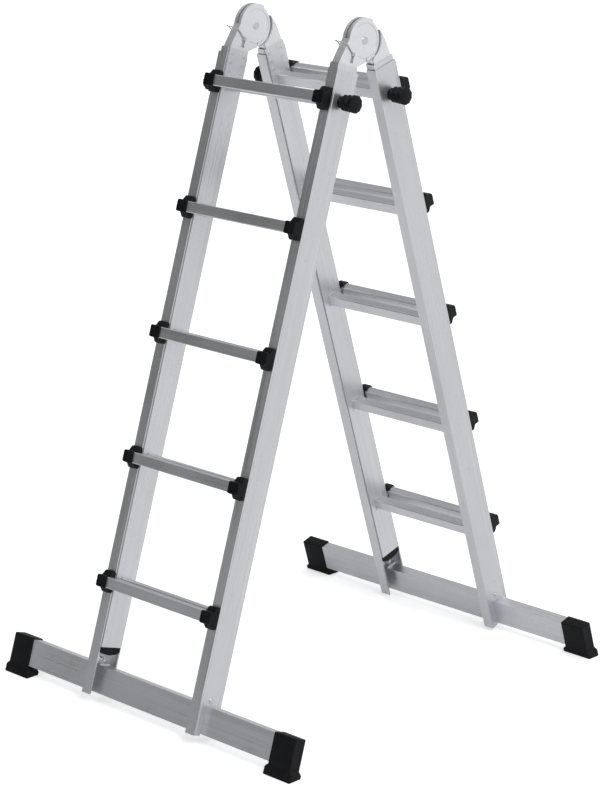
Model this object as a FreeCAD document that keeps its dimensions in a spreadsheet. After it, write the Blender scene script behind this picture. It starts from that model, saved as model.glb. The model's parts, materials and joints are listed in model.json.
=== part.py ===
import FreeCAD, Part
import math
import os
import Sketcher
from FreeCAD import Vector

# Multi position ladder: two telescoping legs joined by a pair of locking hinges.
# Millimetres. +Z is up, +X runs along the rungs, the front leg leans toward -Y.
# The origin is on the floor, midway between the four feet, under the hinge axis.
#
# Each leg is drawn in a frame of its own, hung from the hinge axis:
#   x runs along the rungs, n is the distance out from the plane through the axis
#   and the leg, and d is the distance down the leg from the axis.

doc = FreeCAD.newDocument("multi_position_ladder")
sheet = doc.addObject("Spreadsheet::Sheet", "Sizes")


class Size:
    """A number together with the sheet expression that gives it."""

    def __init__(self, value, text=None):
        self.value = float(value)
        self.text = text if text else "(%.6g)" % float(value)

    def __add__(self, other):
        other = as_size(other)
        return Size(self.value + other.value, "(%s + %s)" % (self.text, other.text))

    def __sub__(self, other):
        other = as_size(other)
        return Size(self.value - other.value, "(%s - %s)" % (self.text, other.text))

    def __mul__(self, other):
        other = as_size(other)
        return Size(self.value * other.value, "(%s * %s)" % (self.text, other.text))

    def __truediv__(self, other):
        other = as_size(other)
        return Size(self.value / other.value, "(%s / %s)" % (self.text, other.text))

    def __neg__(self):
        return Size(-self.value, "(-1 * %s)" % self.text)

    __radd__ = __add__
    __rmul__ = __mul__

    def __rsub__(self, other):
        return as_size(other) - self

    def __rtruediv__(self, other):
        return as_size(other) / self


def as_size(number):
    return number if isinstance(number, Size) else Size(number)


def sine(angle):
    angle = as_size(angle)
    return Size(math.sin(math.radians(angle.value)), "sin(%s)" % angle.text)


def cosine(angle):
    angle = as_size(angle)
    return Size(math.cos(math.radians(angle.value)), "cos(%s)" % angle.text)


def tangent(angle):
    angle = as_size(angle)
    return Size(math.tan(math.radians(angle.value)), "tan(%s)" % angle.text)


def cell(name, value, note):
    row = cell.next_row
    sheet.set("A%d" % row, name)
    sheet.set("B%d" % row, repr(value))
    sheet.set("C%d" % row, note)
    sheet.setAlias("B%d" % row, name)
    cell.next_row = row + 1
    return Size(value, "Sizes.%s" % name)


cell.next_row = 1

# ---------------------------------------------------------------- driving sizes
lean = cell("lean", 17.45, "degrees each leg leans from upright")
axis_height = cell("axis_height", 1450.0, "hinge axis above the floor")
rung_pitch = cell("rung_pitch", 280.0, "rung to rung along the leg")
first_rung = cell("first_rung", 139.0, "hinge axis to the first rung, along the leg")
half_width = cell("half_width", 179.0, "middle of the ladder to the outer side face")
stile_width = cell("stile_width", 26.0, "outer stile, across the ladder")
stile_near = cell("stile_near", 5.0, "leg plane to the near flange of the outer stile")
stile_depth = cell("stile_depth", 66.0, "outer stile, flange face to flange face")
stile_wall = cell("stile_wall", 2.2, "outer stile wall")
stile_top = cell("stile_top", 72.0, "hinge axis to the top of the outer stile")
slide_gap = cell("slide_gap", 0.5, "running clearance between inner and outer stile")
inner_wall = cell("inner_wall", 2.0, "inner stile wall")
inner_proud = cell("inner_proud", 2.5, "inner web stands inboard of the outer flanges")
inner_top = cell("inner_top", 60.0, "hinge axis to the top of the inner stile")
inner_bottom = cell("inner_bottom", 1404.0, "hinge axis to the bottom of the inner stile")
rung_size = cell("rung_size", 24.0, "rung tube, square")
rung_wall = cell("rung_wall", 2.0, "rung tube wall")
rung_edge = cell("rung_edge", 1.5, "bevel along the rung corners")
cap_length = cell("cap_length", 29.0, "rung end cap, along the rung")
cap_skin = cell("cap_skin", 1.6, "rung end cap around the tube")
cap_face = cell("cap_face", 3.0, "rung end cap over the front of the tube")
cap_flare = cell("cap_flare", 24.5, "half height of the cap where it meets the stile")
bar_top = cell("bar_top", 1446.5, "hinge axis to the top of the crossbar, along the leg")
bar_height = cell("bar_height", 61.5, "crossbar height")
bar_depth = cell("bar_depth", 25.6, "crossbar depth")
bar_wall = cell("bar_wall", 2.0, "crossbar wall")
bar_half = cell("bar_half", 430.0, "middle of the ladder to the end of the crossbar tube")
notch_gap = cell("notch_gap", 0.2, "crossbar to the sides of its notch in the stile")
foot_start = cell("foot_start", 384.0, "middle of the ladder to the start of a foot")
foot_length = cell("foot_length", 64.0, "foot sleeve, across the ladder")
foot_skin = cell("foot_skin", 2.6, "foot sleeve around the crossbar")
foot_flare = cell("foot_flare", 7.0, "tread wider than the sleeve, each end")
disc_radius = cell("disc_radius", 38.0, "hinge face disc")
shell_radius = cell("shell_radius", 48.7, "hinge shell over the top of the disc")
ring_radius = cell("ring_radius", 46.0, "ring plates of the rear hinge half")
plate = cell("plate", 2.5, "hinge plate thickness")
plate_gap = cell("plate_gap", 0.3, "running clearance between hinge plates")
pin_radius = cell("pin_radius", 6.0, "hinge pin")
pin_gap = cell("pin_gap", 0.08, "hinge pin running clearance, radial")
ring_end = cell("ring_end", 58.0, "degrees above level where the ring plates stop")
grip_radius = cell("grip_radius", 20.0, "lock knob grip")
bolt_radius = cell("bolt_radius", 6.0, "lock bolt")
rivet_radius = cell("rivet_radius", 2.5, "rivet shank")
wire_radius = cell("wire_radius", 1.3, "release bail wire")
neck = cell("neck", 5.0, "lock disc where it passes through the slot in the shell")

# Distances that follow from the sizes above.
stile_far = stile_near + stile_depth
leg_middle = stile_near + stile_depth / 2
web_inside = half_width - 0.8 - stile_wall
inner_out = web_inside - slide_gap
inner_in = half_width - stile_width - inner_proud
inner_near = stile_near + stile_wall + slide_gap
inner_far = stile_far - stile_wall - slide_gap
lip = Size(1.5)
hinge_in = inner_in + inner_wall + 0.2
hinge_out = inner_out - inner_wall - 0.2
bar_near = leg_middle - bar_depth / 2
bar_far = leg_middle + bar_depth / 2
bar_bottom = bar_top + bar_height
stile_bottom = bar_bottom + 4
outer_rung_n = stile_far + rung_size / 2
hinge_middle = (hinge_in + hinge_out) / 2

doc.recompute()

FRONT = ("create(<<placement>>; create(<<vector>>; 0; 0; Sizes.axis_height); "
         "create(<<rotation>>; create(<<vector>>; 1; 0; 0); -Sizes.lean))")
REAR = ("create(<<placement>>; create(<<vector>>; 0; 0; Sizes.axis_height); "
        "create(<<rotation>>; create(<<vector>>; 0; 0; 1); 180) * "
        "create(<<rotation>>; create(<<vector>>; 1; 0; 0); -Sizes.lean))")
PLACES = {"front": FRONT, "rear": REAR}
VIEWS = {"section": "XY_Plane", "face": "XZ_Plane", "side": "YZ_Plane"}
nodes = []


def node(kind, label, leg):
    """A document object placed on one leg, exported under its label."""
    item = doc.addObject(kind, label)
    item.Label = label
    item.setExpression("Placement", PLACES[leg])
    nodes.append(item)
    return item


def body(label, leg):
    return node("PartDesign::Body", label, leg)


def flat(view, first, second):
    """Leg distances to sketch coordinates: n is -Y and d is -Z in the leg's frame."""
    first = as_size(first)
    second = as_size(second)
    if view == "section":
        return first, -second
    if view == "face":
        return first, -second
    return -first, -second


def sketch(owner, view, loops, level):
    """A sketch of closed outlines, every corner held by the sheet."""
    lines = owner.newObject("Sketcher::SketchObject", owner.Name + "_outline")
    planes = [p for p in owner.Origin.OriginFeatures if p.Role == VIEWS[view]]
    lines.AttachmentSupport = [(planes[0], "")]
    lines.MapMode = "FlatFace"
    level = as_size(level)
    lines.setExpression("AttachmentOffset.Base.z", level.text)
    for loop in loops:
        if loop[0] == "circle":
            across, up = flat(view, loop[1], loop[2])
            radius = as_size(loop[3])
            centre = Vector(across.value, up.value, 0)
            ring = lines.addGeometry(Part.Circle(centre, Vector(0, 0, 1), radius.value), False)
            held = [("Radius", (ring,), radius), ("DistanceX", (-1, 1, ring, 3), across),
                    ("DistanceY", (-1, 1, ring, 3), up)]
        else:
            corners = [flat(view, c[0], c[1]) for c in loop]
            count = len(corners)
            spots = [Vector(c[0].value, c[1].value, 0) for c in corners]
            sides = [Part.LineSegment(spots[k], spots[(k + 1) % count]) for k in range(count)]
            first = len(lines.Geometry)
            lines.addGeometry(sides, False)
            joins = []
            held = []
            for k in range(count):
                here = first + k
                joins.append(Sketcher.Constraint("Coincident", here, 2,
                                                 first + (k + 1) % count, 1))
                held.append(("DistanceX", (-1, 1, here, 1), corners[k][0]))
                held.append(("DistanceY", (-1, 1, here, 1), corners[k][1]))
            lines.addConstraint(joins)
        start = lines.ConstraintCount
        lines.addConstraint([Sketcher.Constraint(kind, *where, size.value)
                             for kind, where, size in held])
        for k, (kind, where, size) in enumerate(held):
            lines.setExpression("Constraints[%d]" % (start + k), size.text)
    lines.Visibility = False
    return lines


def pad(owner, view, loops, low, high):
    """Solid between two levels: d for a section, n for a face, x for a side outline."""
    low = as_size(low)
    high = as_size(high)
    outline = sketch(owner, view, loops, -high if view == "section" else low)
    solid = owner.newObject("PartDesign::Pad", owner.Name + "_pad")
    solid.Profile = outline
    solid.setExpression("Length", (high - low).text)
    doc.recompute()
    return solid


def pocket(owner, view, loops, low, high):
    """Cut between two levels; it must take material away."""
    low = as_size(low)
    high = as_size(high)
    before = owner.Shape.Volume
    outline = sketch(owner, view, loops, -low if view == "section" else high)
    cut = owner.newObject("PartDesign::Pocket", owner.Name + "_pocket")
    cut.Profile = outline
    cut.setExpression("Length", (high - low).text)
    doc.recompute()
    if owner.Shape.Volume > before - 0.01:
        raise ValueError("a pocket in %s cuts nothing" % owner.Label)
    return cut


def box(low_first, high_first, low_second, high_second):
    return [(low_first, low_second), (high_first, low_second),
            (high_first, high_second), (low_first, high_second)]


def turned(side, low, high):
    """The same x range on the left or right of the ladder."""
    low = as_size(low)
    high = as_size(high)
    return (low, high) if side > 0 else (-high, -low)


def mirrored(side, points):
    return [(as_size(p[0]) * side, p[1]) for p in points]


def rung_line(k):
    return first_rung + rung_pitch * k


def rivet_holes():
    """Two columns of three rivets hold each hinge stem in its inner stile."""
    return [("circle", n, d, rivet_radius) for d in (73.5, 93.0, 112.5) for n in (18.5, 55.0)]


# The rear leg's frame is turned half round, so its +x side is the ladder's left.
SIDES = {"front": (("left", -1), ("right", 1)), "rear": (("left", 1), ("right", -1))}


# ---------------------------------------------------------------- outer stiles
# A channel open toward the ladder's middle, with a bead and a groove along the
# front corner of its side face, a raised band along the far corner and two small
# lips at the mouth. The web is notched at the foot for the crossbar.
def outer_stile(leg, name, side):
    item = body("%s_outer_stile_%s" % (leg, name), leg)
    mouth = half_width - stile_width
    far = stile_far
    near = stile_near
    skin = half_width - 0.8
    section = [(mouth, far), (half_width, far), (half_width, far - 2.6), (skin, far - 3.4),
               (skin, far - 5), (half_width, far - 5.8), (half_width, far - 7.4),
               (skin, far - 9), (skin, near + 9.5), (half_width, near + 8), (half_width, near),
               (mouth, near), (mouth, near + stile_wall + lip),
               (mouth + 2, near + stile_wall + lip), (mouth + 2, near + stile_wall),
               (web_inside, near + stile_wall), (web_inside, far - stile_wall),
               (mouth + 2, far - stile_wall), (mouth + 2, far - stile_wall - lip),
               (mouth, far - stile_wall - lip)]
    pad(item, "section", [mirrored(side, section)], stile_top, stile_bottom)
    notch = box(bar_near - notch_gap, bar_far + notch_gap, bar_top, stile_bottom + 5)
    pocket(item, "side", [notch], *turned(side, web_inside - 2, half_width + 5))
    holes = [("circle", leg_middle, first_rung, bolt_radius + 3),
             ("circle", leg_middle, bar_top - 11, 4.2)]
    pocket(item, "side", holes, *turned(side, web_inside - 2, half_width + 5))
    return item


# ---------------------------------------------------------------- rung profile
# Square tube with bevelled corners and three tread grooves along the top.
def rung_outline(middle_n, middle_d):
    half = rung_size / 2
    top = middle_d - half
    low = middle_d + half
    near = middle_n - half
    far = middle_n + half
    points = [(near, low - rung_edge), (near, top + rung_edge), (near + rung_edge, top)]
    for shift in (-6.5, -0.9, 4.7):
        left = middle_n + shift
        points += [(left, top), (left, top + 0.8), (left + 1.8, top + 0.8), (left + 1.8, top)]
    points += [(far - rung_edge, top), (far, top + rung_edge), (far, low - rung_edge),
               (far - rung_edge, low), (near + rung_edge, low)]
    return points


def rung_hollow(middle_n, middle_d):
    inside = rung_size / 2 - rung_wall
    return box(middle_n - inside, middle_n + inside, middle_d - inside + 0.6, middle_d + inside)


def outer_rung(leg, number):
    item = body("%s_outer_rung_%d" % (leg, number + 1), leg)
    reach = half_width - 1.5
    line = rung_line(number)
    pad(item, "side", [rung_outline(outer_rung_n, line), rung_hollow(outer_rung_n, line)],
        -reach, reach)
    return item


# ---------------------------------------------------------------- rung end caps
# Plastic cap over each end of an outer rung: a square sleeve that widens to a
# flared foot against the stile flange.
def rung_caps(leg, name, side):
    item = body("%s_rung_caps_%s" % (leg, name), leg)
    half = rung_size / 2
    sleeve = half + cap_skin
    front = stile_far + rung_size + cap_face
    outlines = []
    slots = []
    for k in range(5):
        line = rung_line(k)
        flared = stile_far + 8
        outlines.append([(stile_far, line - cap_flare), (flared, line - cap_flare),
                         (flared + 4.5, line - cap_flare + 4), (flared + 7, line - sleeve),
                         (front, line - sleeve), (front, line + sleeve),
                         (flared + 7, line + sleeve), (flared + 4.5, line + cap_flare - 4),
                         (flared, line + cap_flare), (stile_far, line + cap_flare)])
        slots.append(box(stile_far - 3, stile_far + rung_size, line - half, line + half))
    pad(item, "side", outlines, *turned(side, half_width - cap_length, half_width))
    pocket(item, "side", slots, *turned(side, half_width - cap_length - 1, half_width - 1.5))
    corners = []
    inner = half_width - cap_length
    for k in range(5):
        line = rung_line(k)
        for way in (-1, 1):
            edge = line + cap_flare * way
            corners.append(mirrored(side, [(inner - 1, edge + 1.0 * way),
                                           (inner + 6, edge + 1.0 * way),
                                           (inner - 1, edge - 6.0 * way)]))
            corners.append(mirrored(side, [(half_width + 1, edge + 1.0 * way),
                                           (half_width - 5, edge + 1.0 * way),
                                           (half_width + 1, edge - 5.0 * way)]))
    pocket(item, "face", corners, stile_far - 1, front + 1)
    return item


# ---------------------------------------------------------------- crossbar and feet
def crossbar(leg):
    item = body("%s_crossbar" % leg, leg)
    outside = box(bar_near, bar_far, bar_top, bar_bottom)
    inside = box(bar_near + bar_wall, bar_far - bar_wall, bar_top + bar_wall,
                 bar_bottom - bar_wall)
    pad(item, "side", [outside, inside], -bar_half, bar_half)
    return item


def floor_line(n):
    """Distance down the leg at which a point n out from the plane meets the floor."""
    return axis_height / cosine(lean) + as_size(n) * tangent(lean)


def foot(leg, name, side):
    item = body("%s_foot_%s" % (leg, name), leg)
    near = bar_near - foot_skin
    far = bar_far + foot_skin
    end = foot_start + foot_length
    low = bar_bottom + foot_skin
    sleeve = box(foot_start, end, bar_top - foot_skin, low + 30)
    pad(item, "face", [mirrored(side, sleeve)], near, far)
    spread = [(foot_start, low + 1), (foot_start - foot_flare, low + 10),
              (foot_start - foot_flare, low + 40), (end + foot_flare, low + 40),
              (end + foot_flare, low + 10), (end, low + 1)]
    pad(item, "face", [mirrored(side, spread)], near - 1.5, far + 1.5)
    pocket(item, "side", [box(bar_near, bar_far, bar_top, bar_bottom)],
           *turned(side, foot_start - 20, bar_half))
    floor = [(near - 20, floor_line(near - 20)), (far + 20, floor_line(far + 20)),
             (far + 20, floor_line(far + 20) + 90), (near - 20, floor_line(near - 20) + 90)]
    pocket(item, "side", [floor], *turned(side, foot_start - 30, end + 30))
    return item


# Angle bracket inside each outer stile: one leg lies on the crossbar, the other
# stands against the web and takes the bolt.
def crossbar_brackets(leg):
    item = body("%s_crossbar_brackets" % leg, leg)
    pieces = []
    for side in (-1, 1):
        angle = [(web_inside, bar_top - 22), (web_inside, bar_top), (web_inside - 17, bar_top),
                 (web_inside - 17, bar_top - 3), (web_inside - 3, bar_top - 3),
                 (web_inside - 3, bar_top - 22)]
        pieces.append(mirrored(side, angle))
    pad(item, "face", pieces, leg_middle - 15, leg_middle + 15)
    holes = [("circle", leg_middle, bar_top - 11, 4.2)]
    pocket(item, "side", holes, -half_width, half_width)
    return item


# Domed bolt through the web and the bracket, with a hexagon nut inside.
def crossbar_bolts(leg):
    item = body("%s_crossbar_bolts" % leg, leg)
    line = bar_top - 11
    hexagon = []
    for k in range(6):
        hexagon.append((leg_middle + 7 * math.cos(math.radians(60 * k)),
                        line + 7 * math.sin(math.radians(60 * k))))
    for side in (-1, 1):
        pad(item, "side", [("circle", leg_middle, line, 4)],
            *turned(side, web_inside - 14, half_width + 1))
        pad(item, "side", [("circle", leg_middle, line, 6.5)],
            *turned(side, half_width - 0.8, half_width + 1.2))
        pad(item, "side", [("circle", leg_middle, line, 4.6)],
            *turned(side, half_width + 1, half_width + 2.4))
        pad(item, "side", [hexagon], *turned(side, web_inside - 9.5, web_inside - 3))
    return item


# ---------------------------------------------------------------- spring bolt locks
# A collar fixed in the outer stile's web guides the bolt; the grip turns over it.
def lock_collars(leg):
    item = body("%s_lock_collars" % leg, leg)
    bore = ("circle", leg_middle, first_rung, bolt_radius + 0.1)
    for side in (-1, 1):
        pad(item, "side", [("circle", leg_middle, first_rung, bolt_radius + 3), bore],
            *turned(side, web_inside, half_width + 19.5))
        pad(item, "side", [("circle", leg_middle, first_rung, bolt_radius + 7), bore],
            *turned(side, half_width - 0.8, half_width + 2.5))
    return item


def revolve(owner, points, side):
    """A turned shape about the lock bolt's line: points are (x, radius)."""
    line = -first_rung
    across = [(as_size(p[0]) * side, first_rung - p[1]) for p in points]
    outline = sketch(owner, "face", [across], leg_middle)
    axis = outline.addGeometry(Part.LineSegment(Vector(0, line.value, 0),
                                                Vector(100, line.value, 0)), True)
    for end, reach in ((1, 0), (2, 100)):
        outline.addConstraint(Sketcher.Constraint("DistanceX", -1, 1, axis, end, reach))
        held = outline.addConstraint(Sketcher.Constraint("DistanceY", -1, 1, axis, end,
                                                         line.value))
        outline.setExpression("Constraints[%d]" % held, line.text)
    turn = owner.newObject("PartDesign::Revolution", owner.Name + "_turn")
    turn.Profile = outline
    turn.ReferenceAxis = (outline, ["Axis0"])
    turn.Angle = 360
    doc.recompute()
    return turn


# Moulded grip, waisted for the fingers, hollow over the collar.
def lock_grip(leg, name, side):
    item = body("%s_lock_grip_%s" % (leg, name), leg)
    base = half_width + 5.5
    size = grip_radius
    shape = [(base, bolt_radius + 3.6), (base, size * 0.86), (base + 4, size * 0.9),
             (base + 6, size * 0.72), (base + 11, size * 0.98), (base + 16, size),
             (base + 21, size * 0.78), (base + 24, size * 0.74), (base + 29, size * 0.92),
             (base + 33, size), (base + 36, size * 0.9), (base + 37, size * 0.7),
             (base + 37, bolt_radius), (base + 15.5, bolt_radius),
             (base + 15.5, bolt_radius + 3.6)]
    revolve(item, shape, side)
    return item


def lock_bolt(leg, name, side):
    item = body("%s_lock_bolt_%s" % (leg, name), leg)
    pad(item, "side", [("circle", leg_middle, first_rung, bolt_radius)],
        *turned(side, inner_out + 0.3, half_width + 44))
    return item


# ---------------------------------------------------------------- inner stiles
# Closed tube that slides in the outer channel. Its web stands inboard of the
# outer flanges; the tube steps in past the lips at the channel's mouth.
def inner_stile(leg, name, side):
    item = body("%s_inner_stile_%s" % (leg, name), leg)
    neck = lip + 0.1
    step = half_width - stile_width + 2 + slide_gap
    section = [(inner_in, inner_near + neck), (step, inner_near + neck), (step, inner_near),
               (inner_out, inner_near), (inner_out, inner_far), (step, inner_far),
               (step, inner_far - neck), (inner_in, inner_far - neck)]
    hollow = box(inner_in + inner_wall, inner_out - inner_wall,
                 inner_near + neck + inner_wall, inner_far - neck - inner_wall)
    pad(item, "section", [mirrored(side, section), mirrored(side, hollow)],
        inner_top, inner_bottom)
    half = rung_size / 2
    windows = []
    bolts = []
    for k in range(5):
        windows.append(box(leg_middle - half, leg_middle + half,
                           rung_line(k) - half, rung_line(k) + half))
        bolts.append(("circle", leg_middle, rung_line(k), bolt_radius + 0.5))
    pocket(item, "side", windows, *turned(side, inner_in - 1, inner_in + inner_wall + 1))
    pocket(item, "side", bolts, *turned(side, inner_out - inner_wall - 1, inner_out + 1))
    pocket(item, "side", rivet_holes(), *turned(side, inner_in - 1, inner_out + 1))
    return item


def inner_rungs(leg):
    item = body("%s_inner_rungs" % leg, leg)
    tubes = []
    for k in range(5):
        tubes.append(rung_outline(leg_middle, rung_line(k)))
        tubes.append(rung_hollow(leg_middle, rung_line(k)))
    reach = inner_out - inner_wall
    pad(item, "side", tubes, -reach, reach)
    half = rung_size / 2
    for side in (-1, 1):
        for flange, thick in ((3.0, 0.8), (1.4, 2.2)):
            rings = []
            for k in range(5):
                line = rung_line(k)
                rings.append(box(leg_middle - half - flange, leg_middle + half + flange,
                                 line - half - flange, line + half + flange))
                rings.append(box(leg_middle - half + 1, leg_middle + half - 1,
                                 line - half + 1.4, line + half - 1))
            pad(item, "side", rings, *turned(side, inner_in - thick, inner_in))
    return item


# Plastic plug closing the lower end of each inner stile, bowed at the bottom.
def inner_plugs(leg):
    item = body("%s_inner_plugs" % leg, leg)
    neck = lip + 0.1
    for side in (-1, 1):
        bowed = [(inner_near + 0.3, inner_bottom), (inner_near + 0.3, inner_bottom + 11),
                 (inner_near + 14, inner_bottom + 16), (leg_middle, inner_bottom + 18),
                 (inner_far - 14, inner_bottom + 16), (inner_far - 0.3, inner_bottom + 11),
                 (inner_far - 0.3, inner_bottom)]
        pad(item, "side", [bowed],
            *turned(side, half_width - stile_width + 2 + slide_gap, inner_out))
        tongue = [(inner_near + neck, inner_bottom), (inner_near + neck, inner_bottom + 11),
                  (inner_near + 14, inner_bottom + 16), (leg_middle, inner_bottom + 18),
                  (inner_far - 14, inner_bottom + 16), (inner_far - neck, inner_bottom + 11),
                  (inner_far - neck, inner_bottom)]
        pad(item, "side", [tongue],
            *turned(side, inner_in, half_width - stile_width + 2 + slide_gap + 1))
        stem = box(inner_near + neck + inner_wall, inner_far - neck - inner_wall,
                   inner_bottom - 30, inner_bottom + 4)
        pad(item, "side", [stem], *turned(side, inner_in + inner_wall, inner_out - inner_wall))
    return item


# ---------------------------------------------------------------- hinges
def out_at(angle, radius):
    """A point round the hinge axis, by its angle above level at the back, in the front leg's frame."""
    return (cosine(lean + angle) * -radius, sine(lean + angle) * -radius)


# Front half: two face plates joined by a wall that follows their front edge and
# runs over the top of the disc. The stem goes down inside the inner stile.
def front_hinge(name, side):
    item = body("front_hinge_%s" % name, "front")
    stem_near = inner_near + lip + 0.1 + inner_wall + 0.2
    stem_far = inner_far - lip - 0.1 - inner_wall - 0.2
    stem_low = Size(122.0)
    front_edge = [(stem_near, stem_low), (stem_far, stem_low), (stem_far, inner_top),
                  (61.8, 49), (48.3, 6), (0, 0), (-16, 44), (stem_near - 3, inner_top - 0.5),
                  (stem_near, inner_top)]
    pad(item, "side", [front_edge], *turned(side, hinge_in, hinge_out))
    pad(item, "side", [("circle", 0, 0, shell_radius)], *turned(side, hinge_in, hinge_out))
    # The face steps back to the smaller disc on the rear side.
    back = 270 - lean - ring_end
    wedge = [(0, 0), (-36, 99), (-160, 60), (-160, -110),
             (sine(back) * 120, cosine(back) * 120)]
    pocket(item, "side", [wedge], *turned(side, hinge_in - 1, hinge_out + 1))
    pad(item, "side", [("circle", 0, 0, disc_radius)], *turned(side, hinge_in, hinge_out))
    # Room between the plates for the ring plates, the disc and the lock bar.
    wall = Size(2.2)
    room = [(-120, stem_low + 5), (stem_far - wall, stem_low + 5), (stem_far - wall, inner_top),
            (61.8 - wall, 49.6), (48.3 - wall, 6.6), (0, 0), (-120, 0)]
    inside = turned(side, hinge_in + plate, hinge_out - plate)
    pocket(item, "side", [room], *inside)
    pocket(item, "side", [("circle", 0, 0, shell_radius - wall)], *inside)
    # Slot over the top for the neck of the disc, which passes there as the legs open.
    slot = [(0, 0)] + [out_at(angle, 62) for angle in (ring_end - 3, 92, 130, 168.5)]
    half_slot = neck / 2 + plate_gap
    pocket(item, "side", [slot], *turned(side, hinge_middle - half_slot, hinge_middle + half_slot))
    # Pin hole and the two slots for the lock bar.
    pocket(item, "side", [("circle", 0, 0, pin_radius)], *turned(side, hinge_in - 1, hinge_out + 1))
    pocket(item, "side", [box(23.7, 32.3, 30.7, 54)],
           *turned(side, hinge_in - 1, hinge_out + 1))
    pocket(item, "side", rivet_holes(), *turned(side, hinge_in - 1, hinge_out + 1))
    return item


# Rear half: face plates flush with the front ones and cut clear of them round the
# disc, joined by a wall along their outer edge.
def rear_hinge(name, side):
    item = body("rear_hinge_%s" % name, "rear")
    stem_near = inner_near + lip + 0.1 + inner_wall + 0.2
    stem_far = inner_far - lip - 0.1 - inner_wall - 0.2
    stem_low = Size(122.0)
    wall = Size(2.2)
    outline = [(stem_near, stem_low), (stem_far, stem_low), (stem_far, inner_top - 4),
               (58.8, 20), (49.8, -4), (30, -4), (8, 30), (stem_near + 1, inner_top - 6)]
    pad(item, "side", [outline], *turned(side, hinge_in, hinge_out))
    pocket(item, "side", [("circle", 0, 0, shell_radius + 0.5)],
           *turned(side, hinge_in - 1, hinge_out + 1))
    room = [(-60, stem_low + 5), (stem_far - wall, stem_low + 5), (stem_far - wall, inner_top - 4),
            (58.8 - wall, 21), (47.4, -8), (-60, -8)]
    pocket(item, "side", [room], *turned(side, hinge_in + plate, hinge_out - plate))
    pocket(item, "side", rivet_holes(), *turned(side, hinge_in - 1, hinge_out + 1))
    return item


# The disc that turns on the hinge pin: a wider sector behind the front plates' step,
# a tail riveted between the rear plates, and three notches for the lock bar.
def lock_disc(name, side):
    item = body("lock_disc_%s" % name, "rear")
    low, high = turned(side, hinge_in + plate + plate_gap, hinge_out - plate - plate_gap)
    stem_near = inner_near + lip + 0.1 + inner_wall + 0.2
    tail_far = inner_far - lip - 0.1 - inner_wall - 0.2 - 2.2
    pad(item, "side", [("circle", 0, 0, ring_radius)], low, high)
    sweep = ring_end + 90 - lean
    wedge = [(0, 0), (-12, 119), (-160, 100), (-160, -160),
             (sine(sweep) * 120, cosine(sweep) * 120)]
    pocket(item, "side", [wedge], low - 1, high + 1)
    pad(item, "side", [("circle", 0, 0, disc_radius - 1)], low, high)
    tail = [(stem_near + 0.5, 118), (tail_far, 118), (tail_far, inner_top - 4),
            (58.8 - 2.2, 21), (46.5, -3), (0, 0), (-3.8, 38.4), (9, 57.5),
            (stem_near + 0.5, inner_top)]
    pad(item, "side", [tail], low, high)
    groove = [("circle", 0, 0, shell_radius + 0.6), ("circle", 0, 0, ring_radius + 0.1)]
    pocket(item, "side", groove, *turned(side, hinge_in, hinge_middle - neck / 2))
    pocket(item, "side", groove, *turned(side, hinge_middle + neck / 2, hinge_out))
    notches = []
    for angle in (-73.7, -73.7 + 2 * lean, -73.7 - 180 + 2 * lean):
        out = (sine(angle), cosine(angle))
        notches.append([(out[0] * r + out[1] * w, out[1] * r - out[0] * w)
                        for r, w in ((31, -4.6), (31, 4.6), (48, 4.6), (48, -4.6))])
    pocket(item, "side", notches, low - 1, high + 1)
    pocket(item, "side", [("circle", 0, 0, pin_radius + pin_gap)] + rivet_holes(),
           low - 1, high + 1)
    return item


def hinge_pins():
    item = body("hinge_pins", "front")
    for side in (-1, 1):
        pad(item, "side", [("circle", 0, 0, pin_radius)], *turned(side, hinge_in, hinge_out))
        pad(item, "side", [("circle", 0, 0, pin_radius + 2)],
            *turned(side, hinge_in - 1.4, hinge_in))
        pad(item, "side", [("circle", 0, 0, pin_radius + 2)],
            *turned(side, hinge_out, hinge_out + 1.4))
    return item


def hinge_rivets(leg):
    item = body("%s_hinge_rivets" % leg, leg)
    heads = [(kind, n, d, rivet_radius + 1.5) for kind, n, d, radius in rivet_holes()]
    for side in (-1, 1):
        pad(item, "side", rivet_holes(), *turned(side, inner_in, inner_out))
        pad(item, "side", heads, *turned(side, inner_in - 1, inner_in))
    return item


# Square bar through both slots of the front hinge half, with the block that
# carries it between the plates.
def lock_bar(name, side):
    item = body("lock_bar_%s" % name, "front")
    pad(item, "side", [box(24, 32, 31, 39)], *turned(side, hinge_in - 2.8, hinge_out + 2.8))
    pad(item, "side", [box(23, 33, 38.5, 50)],
        *turned(side, hinge_in + plate + 0.3, hinge_out - plate - 0.3))
    return item


# Bent wire that wraps the hinge half from one end of the lock bar to the other;
# pulling it down the leg draws the bar out of the disc.
def release_bail(name, side):
    item = node("Part::Feature", "release_bail_%s" % name, "front")
    inside = (sheet.half_width - sheet.stile_width - sheet.inner_proud + sheet.inner_wall
              + 0.2 - 1.9)
    outside = (sheet.half_width - 0.8 - sheet.stile_wall - sheet.slide_gap - sheet.inner_wall
               - 0.2 + 1.9)
    centre = (inside + outside) / 2
    path = [(inside, 28, 35), (inside, 42, 26.4), (inside + 0.3, 56, 18.0),
            (inside + 6, 70, 16.5), (centre, 77.2, 16.4), (outside - 6, 70, 16.5),
            (outside - 0.3, 56, 18.0), (outside, 42, 26.4), (outside, 28, 35)]
    curve = Part.BSplineCurve()
    curve.interpolate([Vector(side * x, -n, -d) for x, n, d in path])
    ring = Part.makeCircle(sheet.wire_radius, curve.value(curve.FirstParameter),
                           curve.tangent(curve.FirstParameter)[0])
    item.Shape = Part.Wire(curve.toShape()).makePipe(Part.Face(Part.Wire(ring)))
    item.setExpression("Placement", FRONT)
    return item


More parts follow.
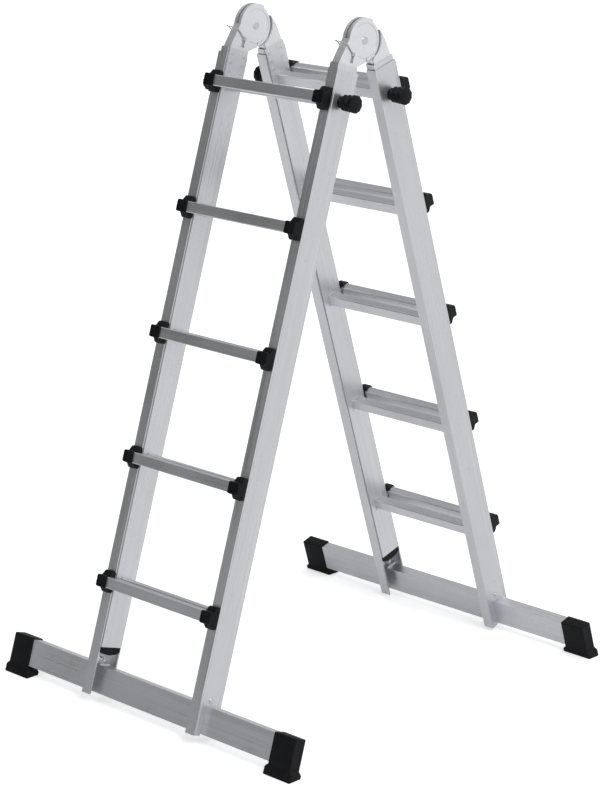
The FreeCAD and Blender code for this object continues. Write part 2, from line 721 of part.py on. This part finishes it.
for leg in ("front", "rear"):
    for name, side in SIDES[leg]:
        outer_stile(leg, name, side)
        rung_caps(leg, name, side)
        foot(leg, name, side)
        lock_grip(leg, name, side)
        lock_bolt(leg, name, side)
        inner_stile(leg, name, side)
    for number in range(5):
        outer_rung(leg, number)
    crossbar(leg)
    crossbar_brackets(leg)
    crossbar_bolts(leg)
    lock_collars(leg)
    inner_rungs(leg)
    inner_plugs(leg)
    hinge_rivets(leg)

for name, side in SIDES["front"]:
    front_hinge(name, side)
    lock_bar(name, side)
    release_bail(name, side)
for name, side in SIDES["rear"]:
    rear_hinge(name, side)
    lock_disc(name, side)
hinge_pins()

# ---------------------------------------------------------------- check and export
doc.recompute()
for item in doc.Objects:
    if "Invalid" in item.State or "Error" in item.State:
        raise ValueError("%s failed: %s" % (item.Label, item.State))
os.makedirs("parts", exist_ok=True)
for item in nodes:
    shape = item.Shape
    if shape.isNull() or not shape.isValid():
        raise ValueError("%s has no valid shape" % item.Label)
    if shape.Volume < 1.0:
        raise ValueError("%s is empty" % item.Label)
for item in nodes:
    item.Shape.exportStep("parts/%s.step" % item.Label)
print("%d sub-parts written" % len(nodes))
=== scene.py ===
import json
import math
import bpy
from mathutils import Matrix, Vector


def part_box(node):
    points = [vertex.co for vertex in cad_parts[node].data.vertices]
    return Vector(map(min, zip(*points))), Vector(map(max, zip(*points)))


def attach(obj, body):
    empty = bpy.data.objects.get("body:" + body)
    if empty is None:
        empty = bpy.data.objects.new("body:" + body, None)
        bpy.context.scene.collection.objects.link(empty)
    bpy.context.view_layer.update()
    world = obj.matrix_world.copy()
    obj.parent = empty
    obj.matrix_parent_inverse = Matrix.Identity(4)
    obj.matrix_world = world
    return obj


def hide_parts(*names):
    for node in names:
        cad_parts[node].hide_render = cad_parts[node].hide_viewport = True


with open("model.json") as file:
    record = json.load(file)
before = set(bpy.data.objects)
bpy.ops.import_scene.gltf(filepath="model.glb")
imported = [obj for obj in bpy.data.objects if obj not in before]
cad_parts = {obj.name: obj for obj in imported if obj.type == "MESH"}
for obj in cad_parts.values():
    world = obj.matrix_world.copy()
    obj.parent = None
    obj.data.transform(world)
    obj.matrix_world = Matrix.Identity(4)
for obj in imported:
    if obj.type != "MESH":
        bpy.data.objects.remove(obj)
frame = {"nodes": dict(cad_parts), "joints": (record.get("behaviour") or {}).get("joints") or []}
bpy.ops.object.select_all(action="DESELECT")
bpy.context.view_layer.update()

# ---------------------------------------------------------------- studio
# A white floor runs out of sight under the ladder. The room is brighter behind
# and to the right than at the front left, and one broad lamp draws the edges.
bpy.context.scene.view_settings.view_transform = "Standard"

room = bpy.data.worlds.new("studio_room")
room.use_nodes = True
bpy.context.scene.world = room
room_tree = room.node_tree
room_light = room_tree.nodes["Background"]
direction = room_tree.nodes.new("ShaderNodeTexCoord")
toward_bright = room_tree.nodes.new("ShaderNodeVectorMath")
toward_bright.operation = "DOT_PRODUCT"
toward_bright.inputs[1].default_value = Vector((0.62, 0.46, 0.42)).normalized()
brightness = room_tree.nodes.new("ShaderNodeMapRange")
brightness.inputs["From Min"].default_value = -0.75
brightness.inputs["From Max"].default_value = 0.75
brightness.inputs["To Min"].default_value = 0.12
brightness.inputs["To Max"].default_value = 0.98
looking = room_tree.nodes.new("ShaderNodeLightPath")
backdrop = room_tree.nodes.new("ShaderNodeMix")
backdrop.inputs[3].default_value = 1.0
room_tree.links.new(direction.outputs["Generated"], toward_bright.inputs[0])
room_tree.links.new(toward_bright.outputs["Value"], brightness.inputs["Value"])
room_tree.links.new(looking.outputs["Is Camera Ray"], backdrop.inputs[0])
room_tree.links.new(brightness.outputs["Result"], backdrop.inputs[2])
room_tree.links.new(backdrop.outputs[0], room_light.inputs["Strength"])
room_light.inputs["Color"].default_value = (0.985, 0.99, 1.0, 1)

lamp_data = bpy.data.lights.new("broad_lamp", "SUN")
lamp_data.energy = 1.1
lamp_data.angle = math.radians(24)
lamp = bpy.data.objects.new("broad_lamp", lamp_data)
lamp.rotation_euler = (math.radians(38), math.radians(30), math.radians(35))
bpy.context.scene.collection.objects.link(lamp)

bpy.ops.mesh.primitive_plane_add(size=120, location=(0, 0, 0))
floor = bpy.context.object
floor.name = "floor"
floor_paint = bpy.data.materials.new("floor_paint")
floor_paint.use_nodes = True
floor_shader = floor_paint.node_tree.nodes["Principled BSDF"]
floor_shader.inputs["Base Color"].default_value = (0.86, 0.86, 0.87, 1)
floor_shader.inputs["Roughness"].default_value = 0.9
floor_shader.inputs["Specular IOR Level"].default_value = 0.1
floor_glow = floor_paint.node_tree.nodes.new("ShaderNodeLightPath")
floor_lift = floor_paint.node_tree.nodes.new("ShaderNodeMath")
floor_lift.operation = "MULTIPLY"
floor_lift.inputs[1].default_value = 0.45
floor_paint.node_tree.links.new(floor_glow.outputs["Is Camera Ray"], floor_lift.inputs[0])
floor_paint.node_tree.links.new(floor_lift.outputs[0], floor_shader.inputs["Emission Strength"])
floor_shader.inputs["Emission Color"].default_value = (1, 1, 1, 1)
floor.data.materials.append(floor_paint)

camera_data = bpy.data.cameras.new("camera")
camera_data.lens = 119.91
camera_data.clip_end = 200
camera = bpy.data.objects.new("camera", camera_data)
camera.matrix_world = (Matrix.Translation((3.997, -4.1208, 2.2361))
                       @ Matrix.Rotation(math.radians(44.062), 4, "Z")
                       @ Matrix.Rotation(math.radians(90 - 15.645), 4, "X")
                       @ Matrix.Rotation(math.radians(0.195), 4, "Z"))
bpy.context.scene.collection.objects.link(camera)
bpy.context.scene.camera = camera

# ---------------------------------------------------------------- outer stiles
# Two wide channels of mill-finish aluminium for each leg, straight from the
# extrusion press: fine draw lines along the leg, faint cloudy stains and scuffs.
joints = {joint["name"]: joint for joint in frame["joints"]}
up_leg = Vector(joints["front_leg_slide"]["axis"]).normalized()
lean = math.atan2(up_leg.y, up_leg.z)
pin_low, pin_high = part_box("hinge_pins")
hinge_centre = (pin_low + pin_high) / 2
ALONG_FRONT = (lean, 0, 0)
ALONG_REAR = (-lean, 0, 0)


def cloud(tree, turn, scale, detail):
    """Noise on the object's own place, turned to the leg and stretched by a scale for each axis."""
    place = tree.nodes.new("ShaderNodeTexCoord")
    turned = tree.nodes.new("ShaderNodeMapping")
    turned.inputs["Rotation"].default_value = turn
    stretched = tree.nodes.new("ShaderNodeMapping")
    stretched.inputs["Scale"].default_value = scale
    noise = tree.nodes.new("ShaderNodeTexNoise")
    noise.inputs["Scale"].default_value = 1
    noise.inputs["Detail"].default_value = detail
    tree.links.new(place.outputs["Object"], turned.inputs["Vector"])
    tree.links.new(turned.outputs["Vector"], stretched.inputs["Vector"])
    tree.links.new(stretched.outputs["Vector"], noise.inputs["Vector"])
    return noise.outputs["Fac"]


def spread(tree, value, low, high, start=0.32, end=0.68):
    """The middle part of a noise, spread between two values."""
    mapped = tree.nodes.new("ShaderNodeMapRange")
    mapped.inputs["From Min"].default_value = start
    mapped.inputs["From Max"].default_value = end
    mapped.inputs["To Min"].default_value = low
    mapped.inputs["To Max"].default_value = high
    tree.links.new(value, mapped.inputs["Value"])
    return mapped.outputs["Result"]


def mixed(tree, share, first, second):
    """Two colours, or a colour and a socket, mixed by a share."""
    mix = tree.nodes.new("ShaderNodeMix")
    mix.data_type = "RGBA"
    tree.links.new(share, mix.inputs[0])
    for socket, colour in ((mix.inputs[6], first), (mix.inputs[7], second)):
        if isinstance(colour, tuple):
            socket.default_value = (*colour, 1)
        else:
            tree.links.new(colour, socket)
    return mix.outputs[2]


def added(tree, first, second):
    total = tree.nodes.new("ShaderNodeMath")
    tree.links.new(first, total.inputs[0])
    tree.links.new(second, total.inputs[1])
    return total.outputs[0]


def bumped(tree, shader, height, strength, distance):
    bump = tree.nodes.new("ShaderNodeBump")
    bump.inputs["Strength"].default_value = strength
    bump.inputs["Distance"].default_value = distance
    tree.links.new(height, bump.inputs["Height"])
    tree.links.new(bump.outputs["Normal"], shader.inputs["Normal"])


def drawn_aluminium(name, tone, turn, lines):
    """Extruded aluminium: draw lines, stains, scuffs and dull patches."""
    finish = bpy.data.materials.new(name)
    finish.use_nodes = True
    tree = finish.node_tree
    shader = tree.nodes["Principled BSDF"]
    shader.inputs["Metallic"].default_value = 0.92
    draw = cloud(tree, turn, lines, 3)
    stain = cloud(tree, turn, (7, 7, 4), 4)
    scuff = cloud(tree, (0.7, 0.5, 0.3), (240, 35, 90), 6)
    pale = tuple(min(1, part * 1.08) for part in tone)
    dull = tuple(part * 0.90 for part in tone)
    worn = tuple(part * 0.80 for part in tone)
    body = mixed(tree, spread(tree, draw, 0, 1), dull, pale)
    clouded = mixed(tree, spread(tree, stain, 0, 0.5, 0.48, 0.75), body, dull)
    marked = mixed(tree, spread(tree, scuff, 0, 0.7, 0.64, 0.78), clouded, worn)
    tree.links.new(marked, shader.inputs["Base Color"])
    rough = added(tree, spread(tree, draw, 0.24, 0.36), spread(tree, stain, 0, 0.14, 0.4, 0.8))
    tree.links.new(rough, shader.inputs["Roughness"])
    bumped(tree, shader, draw, 0.10, 0.0002)
    return finish


def coat(finish, *names):
    """Gives CAD nodes their material."""
    for name in names:
        slots = frame["nodes"][name].data.materials
        slots.clear()
        slots.append(finish)


ALUMINIUM = (0.66, 0.67, 0.69)
LEG_LINES = (1100, 1100, 2)
front_stile_metal = drawn_aluminium("front_stile_metal", ALUMINIUM, ALONG_FRONT, LEG_LINES)
rear_stile_metal = drawn_aluminium("rear_stile_metal", ALUMINIUM, ALONG_REAR, LEG_LINES)
coat(front_stile_metal, "front_outer_stile_left", "front_outer_stile_right")
coat(rear_stile_metal, "rear_outer_stile_left", "rear_outer_stile_right")

# ---------------------------------------------------------------- inner stiles
# Closed tubes of the same alloy that slide in the channels. They are a little
# brighter, polished by running against the channel walls.
INNER_ALUMINIUM = (0.70, 0.71, 0.73)
front_inner_metal = drawn_aluminium("front_inner_metal", INNER_ALUMINIUM, ALONG_FRONT, LEG_LINES)
rear_inner_metal = drawn_aluminium("rear_inner_metal", INNER_ALUMINIUM, ALONG_REAR, LEG_LINES)
coat(front_inner_metal, "front_inner_stile_left", "front_inner_stile_right")
coat(rear_inner_metal, "rear_inner_stile_left", "rear_inner_stile_right")

# ---------------------------------------------------------------- rungs
# Square tubes with a ribbed tread on top. The draw lines run across the ladder.
RUNG_LINES = (2, 1100, 1100)
front_rung_metal = drawn_aluminium("front_rung_metal", ALUMINIUM, ALONG_FRONT, RUNG_LINES)
rear_rung_metal = drawn_aluminium("rear_rung_metal", ALUMINIUM, ALONG_REAR, RUNG_LINES)
RUNG_NUMBERS = range(1, 6)
coat(front_rung_metal, "front_inner_rungs", *["front_outer_rung_%d" % k for k in RUNG_NUMBERS])
coat(rear_rung_metal, "rear_inner_rungs", *["rear_outer_rung_%d" % k for k in RUNG_NUMBERS])

# ---------------------------------------------------------------- crossbars
# Wide rectangular tube at the foot of each leg, let into notches in the stiles
# and held by a zinc-plated bracket and bolt at each side.
coat(front_rung_metal, "front_crossbar")
coat(rear_rung_metal, "rear_crossbar")


def plated(name, tone, rough, speckle):
    """Plated metal: mottled zinc with a fine grain, dull patches and small scratches."""
    finish = bpy.data.materials.new(name)
    finish.use_nodes = True
    tree = finish.node_tree
    shader = tree.nodes["Principled BSDF"]
    shader.inputs["Metallic"].default_value = 0.9
    mottle = cloud(tree, (0.4, 0.2, 0), (speckle, speckle, speckle), 5)
    patch = cloud(tree, (0, 0, 0), (22, 22, 22), 3)
    scratch = cloud(tree, (0.9, 0.3, 0.6), (900, 40, 300), 4)
    pale = tuple(min(1, part * 1.07) for part in tone)
    dull = tuple(part * 0.88 for part in tone)
    body = mixed(tree, spread(tree, mottle, 0, 1), dull, pale)
    marked = mixed(tree, spread(tree, scratch, 0, 0.6, 0.62, 0.75), body, dull)
    tree.links.new(marked, shader.inputs["Base Color"])
    uneven = added(tree, spread(tree, patch, rough - 0.05, rough + 0.1),
                   spread(tree, mottle, -0.04, 0.06))
    tree.links.new(uneven, shader.inputs["Roughness"])
    bumped(tree, shader, mottle, 0.2, 0.0002)
    return finish


bright_zinc = plated("bright_zinc", (0.62, 0.63, 0.65), 0.3, 420)
coat(bright_zinc, "front_crossbar_brackets", "rear_crossbar_brackets",
     "front_crossbar_bolts", "rear_crossbar_bolts")

# ---------------------------------------------------------------- rung end caps
# Moulded black plastic. A square sleeve closes the end of the rung and widens to
# a flared foot with rounded corners against the stile; the front has a shallow panel.
HANGS = {
    "front": Matrix.Translation(hinge_centre) @ Matrix.Rotation(-lean, 4, "X"),
    "rear": (Matrix.Translation(hinge_centre) @ Matrix.Rotation(math.pi, 4, "Z")
             @ Matrix.Rotation(-lean, 4, "X")),
}
HALF_TURN = math.pi


def middle(node, leg):
    """Middle of a CAD node in its leg's frame: x across, y out of the leg's back, z up the leg."""
    low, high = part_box(node)
    return HANGS[leg].inverted() @ ((low + high) / 2)


def choose(piece, kind, wanted):
    """Selects the vertices, edges or faces of a piece that a test accepts, and opens it for editing."""
    bpy.ops.object.mode_set(mode="OBJECT")
    modes = ("vertices", "edges", "polygons")
    bpy.context.tool_settings.mesh_select_mode = [kind == mode for mode in modes]
    for mode in modes:
        for element in getattr(piece.data, mode):
            element.select = mode == kind and wanted(element)
    bpy.ops.object.mode_set(mode="EDIT")


def grow(step, scale, centre):
    """Extrudes what is selected by a step and resizes it about a centre."""
    bpy.ops.mesh.extrude_region_move(TRANSFORM_OT_translate={"value": step})
    bpy.ops.transform.resize(value=scale, center_override=centre)


def refine(piece, kind, **settings):
    """Adds a modifier and applies it."""
    bpy.ops.object.mode_set(mode="OBJECT")
    modifier = piece.modifiers.new(kind.lower(), kind)
    for name, value in settings.items():
        setattr(modifier, name, value)
    bpy.ops.object.modifier_apply(modifier=modifier.name)


def place(piece, matrix):
    """Puts a finished piece in its place, with the place in its mesh."""
    bpy.ops.object.mode_set(mode="OBJECT")
    bpy.ops.object.select_all(action="DESELECT")
    piece.select_set(True)
    bpy.context.view_layer.objects.active = piece
    piece.matrix_world = matrix @ piece.matrix_world
    bpy.ops.object.transform_apply(location=True, rotation=True, scale=True)


def copied(piece, name):
    twin = piece.copy()
    twin.data = piece.data.copy()
    twin.name = name
    bpy.context.scene.collection.objects.link(twin)
    return twin


def moulded(name, tone, rough, grain):
    """Moulded black plastic or rubber: fine grain, dusty patches and rubbed spots."""
    finish = bpy.data.materials.new(name)
    finish.use_nodes = True
    tree = finish.node_tree
    shader = tree.nodes["Principled BSDF"]
    pebble = cloud(tree, (0.3, 0.1, 0), (grain, grain, grain), 3)
    dust = cloud(tree, (0, 0.2, 0), (38, 38, 38), 5)
    pale = tuple(part * 1.9 + 0.004 for part in tone)
    tree.links.new(mixed(tree, spread(tree, dust, 0, 0.6, 0.45, 0.8), tone, pale),
                   shader.inputs["Base Color"])
    tree.links.new(added(tree, spread(tree, dust, rough - 0.08, rough + 0.08),
                         spread(tree, pebble, -0.04, 0.04)), shader.inputs["Roughness"])
    shader.inputs["Specular IOR Level"].default_value = 0.16
    bumped(tree, shader, pebble, 0.25, 0.0003)
    return finish


black_plastic = moulded("black_plastic", (0.0030, 0.0032, 0.0040), 0.46, 1100)

cap_length = 0.029
cap_foot = 0.008
cap_flare = 0.0245
cap_sleeve = 0.0136
rung_half = 0.012
stile_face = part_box("front_outer_rung_1")[1].x + 0.0015

bpy.ops.mesh.primitive_cube_add(size=1, location=(0, rung_half - cap_foot / 2, 0))
cap = bpy.context.object
cap.name = "rung_cap"
cap.scale = (cap_length, cap_foot, 2 * cap_flare)
bpy.ops.object.transform_apply(location=True, rotation=True, scale=True)
choose(cap, "edges", lambda edge: abs((Vector(cap.data.vertices[edge.vertices[0]].co)
                                       - Vector(cap.data.vertices[edge.vertices[1]].co)).y)
       > cap_foot / 2)
bpy.ops.mesh.bevel(offset=0.0058, segments=5, affect="EDGES")
choose(cap, "polygons", lambda face: face.normal.y < -0.9)
grow((0, -0.003, 0), (1, 1, 0.80), (0, 0, 0))
grow((0, -0.003, 0), (1, 1, 0.76), (0, 0, 0))
front_half = cap_flare * 0.80 * 0.76
grow((0, -0.0005, 0), (1, 1, cap_sleeve / front_half), (0, 0, 0))
grow((0, -0.0125, 0), (1, 1, 1), (0, 0, 0))
bpy.ops.mesh.inset(thickness=0.0034, depth=0)
bpy.ops.mesh.extrude_region_move(TRANSFORM_OT_translate={"value": (0, 0.0007, 0)})
bpy.ops.mesh.select_all(action="SELECT")
bpy.ops.mesh.remove_doubles(threshold=0.00002)
bpy.ops.mesh.normals_make_consistent(inside=False)
refine(cap, "BEVEL", width=0.0009, segments=3, angle_limit=math.radians(35))
bpy.ops.object.shade_smooth_by_angle(angle=math.radians(40))
cap.data.materials.append(black_plastic)

for leg in ("front", "rear"):
    for name in ("left", "right"):
        side = (1 if name == "right" else -1) * (1 if leg == "front" else -1)
        row = []
        for number in RUNG_NUMBERS:
            centre = middle("%s_outer_rung_%d" % (leg, number), leg)
            twin = copied(cap, "cap")
            outboard = stile_face - cap_length / 2
            turn = Matrix.Rotation(0 if side > 0 else HALF_TURN, 4, "Y")
            place(twin, HANGS[leg] @ Matrix.Translation((side * outboard, centre.y, centre.z))
                  @ turn)
            row.append(twin)
        bpy.ops.object.select_all(action="DESELECT")
        for twin in row:
            twin.select_set(True)
        bpy.context.view_layer.objects.active = row[0]
        bpy.ops.object.join()
        caps = bpy.context.object
        caps.name = "%s_caps_%s" % (leg, name)
        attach(caps, "%s_outer" % leg)
        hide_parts("%s_rung_caps_%s" % (leg, name))
bpy.data.objects.remove(cap)

# ---------------------------------------------------------------- feet
# Moulded black rubber sleeves pressed over the crossbar ends. Below the bar they
# widen to a thick tread with rounded edges, cut level with the floor.
black_rubber = moulded("black_rubber", (0.0035, 0.0037, 0.0045), 0.58, 700)
foot_length = 0.064
foot_skin = 0.0026
foot_flare = 0.007
bar_half_depth = 0.0128
bar_half_height = 0.03075
bar_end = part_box("front_crossbar")[1].x

bpy.ops.mesh.primitive_cube_add(size=1, location=(0, 0, 0))
foot = bpy.context.object
foot.name = "crossbar_foot"
foot.scale = (foot_length, 2 * (bar_half_depth + foot_skin), 2 * (bar_half_height + foot_skin))
bpy.ops.object.transform_apply(location=True, rotation=True, scale=True)
wide = (foot_length + 2 * foot_flare) / foot_length
choose(foot, "polygons", lambda face: face.normal.z < -0.9)
grow((0, 0, -0.0015), (1, 1, 1), (0, 0, 0))
grow((0, 0, -0.006), (wide * 0.985, 1.06, 1), (0, 0, 0))
grow((0, 0, -0.0025), (1 / 0.985, 1.025, 1), (0, 0, 0))
grow((0, 0, -0.04), (1, 1, 1), (0, 0, 0))
choose(foot, "polygons", lambda face: abs(face.normal.x) > 0.9
       and abs(face.center.z) < bar_half_height / 2)
bpy.ops.mesh.inset(thickness=0.005, depth=0)
bpy.ops.transform.resize(value=(0.985, 1, 1), center_override=(0, 0, 0))
bpy.ops.mesh.select_all(action="SELECT")
bpy.ops.mesh.normals_make_consistent(inside=False)
bpy.ops.object.mode_set(mode="OBJECT")
foot.data.materials.append(black_rubber)

for leg in ("front", "rear"):
    for name in ("left", "right"):
        side = (1 if name == "right" else -1) * (1 if leg == "front" else -1)
        centre = middle("%s_crossbar" % leg, leg)
        node = "%s_foot_%s" % (leg, name)
        twin = copied(foot, "%s_rubber_foot_%s" % (leg, name))
        outboard = bar_end + 0.018 - foot_length / 2
        turn = Matrix.Rotation(0 if side > 0 else HALF_TURN, 4, "Z")
        place(twin, HANGS[leg] @ Matrix.Translation((side * outboard, centre.y, centre.z)) @ turn)
        bpy.ops.object.mode_set(mode="EDIT")
        bpy.ops.mesh.select_all(action="SELECT")
        bpy.ops.mesh.bisect(plane_co=(0, 0, 0), plane_no=(0, 0, 1), use_fill=True,
                            clear_inner=True)
        refine(twin, "BEVEL", width=0.0026, segments=4, angle_limit=math.radians(50))
        bpy.ops.object.shade_smooth_by_angle(angle=math.radians(35))
        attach(twin, "%s_outer" % leg)
        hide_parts(node)
bpy.data.objects.remove(foot)

# ---------------------------------------------------------------- spring bolt locks
# A steel bolt runs through a collar in the outer stile. Its waisted black knob is
# moulded with three swellings for the fingers, fluted, and hollow over the collar.
coat(black_plastic, "front_lock_collars", "rear_lock_collars")
steel = plated("bolt_steel", (0.50, 0.50, 0.52), 0.28, 600)
for leg in ("front", "rear"):
    coat(steel, "%s_lock_bolt_left" % leg, "%s_lock_bolt_right" % leg)

knob_length = 0.037
knob_waist = 0.0142
knob_crest = 0.0172
knob_rim = 0.0200
knob_bore = 0.0097
knob_steps = 30

bpy.ops.mesh.primitive_circle_add(vertices=60, radius=knob_waist, fill_type="NGON",
                                  location=(0, 0, 0), rotation=(0, HALF_TURN / 2, 0))
knob = bpy.context.object
knob.name = "knob"
bpy.ops.object.transform_apply(location=True, rotation=True, scale=True)
choose(knob, "polygons", lambda face: True)
radius = knob_waist
for step in range(1, knob_steps + 1):
    share = step / knob_steps
    crest = knob_crest + (knob_rim - knob_crest) * share
    swell = math.sin(3 * math.pi * min(share, 5 / 6 + 0.04)) ** 2
    wanted = knob_waist + (crest - knob_waist) * swell
    grow((knob_length / knob_steps, 0, 0), (1, wanted / radius, wanted / radius), (0, 0, 0))
    radius = wanted
for dome in range(1, 5):
    wanted = radius * (1 - 0.22 * dome)
    bpy.ops.mesh.extrude_region_move(TRANSFORM_OT_translate={"value": (0.0012 / dome, 0, 0)})
    shrink = wanted / (radius * (1 - 0.22 * (dome - 1)))
    bpy.ops.transform.resize(value=(1, shrink, shrink), center_override=(0, 0, 0))
choose(knob, "vertices", lambda v: math.hypot(v.co.y, v.co.z) > 0.0150
       and math.cos(10 * math.atan2(v.co.z, v.co.y)) < -0.3)
bpy.ops.transform.resize(value=(1, 0.955, 0.955), center_override=(0, 0, 0))
choose(knob, "polygons", lambda face: abs(face.center.x) < 1e-5 and len(face.vertices) > 8)
bpy.ops.mesh.inset(thickness=knob_waist - knob_bore, depth=0)
bpy.ops.mesh.extrude_region_move(TRANSFORM_OT_translate={"value": (0.0155, 0, 0)})
bpy.ops.mesh.select_all(action="SELECT")
bpy.ops.mesh.normals_make_consistent(inside=False)
bpy.ops.object.mode_set(mode="OBJECT")
bpy.ops.object.shade_smooth_by_angle(angle=math.radians(55))
knob.data.materials.append(black_plastic)

for leg in ("front", "rear"):
    for name in ("left", "right"):
        side = (1 if name == "right" else -1) * (1 if leg == "front" else -1)
        node = "%s_lock_grip_%s" % (leg, name)
        centre = middle(node, leg)
        low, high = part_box(node)
        twin = copied(knob, "%s_knob_%s" % (leg, name))
        inboard = abs(centre.x) - (high.x - low.x) / 2
        turn = Matrix.Rotation(0 if side > 0 else HALF_TURN, 4, "Z")
        place(twin, HANGS[leg] @ Matrix.Translation((side * inboard, centre.y, centre.z)) @ turn)
        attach(twin, "%s_lock_%s" % (leg, name))
        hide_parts(node)
bpy.data.objects.remove(knob)

# ---------------------------------------------------------------- inner stile plugs
# Black plastic plugs close the lower ends of the sliding tubes.
coat(black_plastic, "front_inner_plugs", "rear_inner_plugs")

# ---------------------------------------------------------------- hinges
# Pressed steel halves in pale zinc plate, turning on a headed pin. A spring bar
# in the slots drops into the notched disc and is drawn out by a bent wire.
pale_zinc = plated("pale_zinc", (0.80, 0.81, 0.83), 0.36, 900)
for name in ("left", "right"):
    coat(pale_zinc, "front_hinge_" + name, "rear_hinge_" + name, "lock_disc_" + name)
    coat(steel, "lock_bar_" + name, "release_bail_" + name)
coat(bright_zinc, "hinge_pins", "front_hinge_rivets", "rear_hinge_rivets")

# ---------------------------------------------------------------- hinge beads
# Fine beads pressed into the zinc plates: an arc round the disc on the front half
# and a shorter one where the rear half steps down to the disc.
# The beads are coloured with the darker bright zinc, not the plates' pale zinc: painted shade along the
# groove round the disc and along the step.
def pressed_bead(name, across, radius, start, sweep, thickness):
    """An arc of round bead that runs down from its start, both in degrees above level at the back."""
    bpy.ops.mesh.primitive_circle_add(vertices=10, radius=thickness, fill_type="NGON",
                                      location=(across, radius, 0))
    bead = bpy.context.object
    bead.name = name
    bpy.ops.object.transform_apply(location=True, rotation=True, scale=True)
    choose(bead, "polygons", lambda face: True)
    bpy.ops.mesh.spin(steps=48, angle=math.radians(sweep), center=(0, 0, 0), axis=(1, 0, 0))
    bpy.ops.mesh.select_all(action="SELECT")
    bpy.ops.mesh.remove_doubles(threshold=0.00001)
    bpy.ops.mesh.normals_make_consistent(inside=False)
    place(bead, Matrix.Translation(Vector((0, hinge_centre.y, hinge_centre.z)))
          @ Matrix.Rotation(math.radians(start), 4, "X"))
    bpy.ops.object.shade_smooth_by_angle(angle=math.radians(50))
    # Darker zinc than the plate it is pressed into: painted shade in the groove and on the step.
    bead.data.materials.append(bright_zinc)
    return bead


for name in ("left", "right"):
    front_low, front_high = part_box("front_hinge_" + name)
    rear_low, rear_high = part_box("rear_hinge_" + name)
    for face, front_face, rear_face in (("low", front_low.x, rear_low.x),
                                        ("high", front_high.x, rear_high.x)):
        label = "%s_%s" % (name, face)
        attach(pressed_bead("disc_bead_" + label, front_face, 0.0372, 125, 250, 0.0006),
                "front_inner")
        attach(pressed_bead("step_bead_" + label, rear_face, 0.0515, 14, 48, 0.0007),
                "rear_inner")
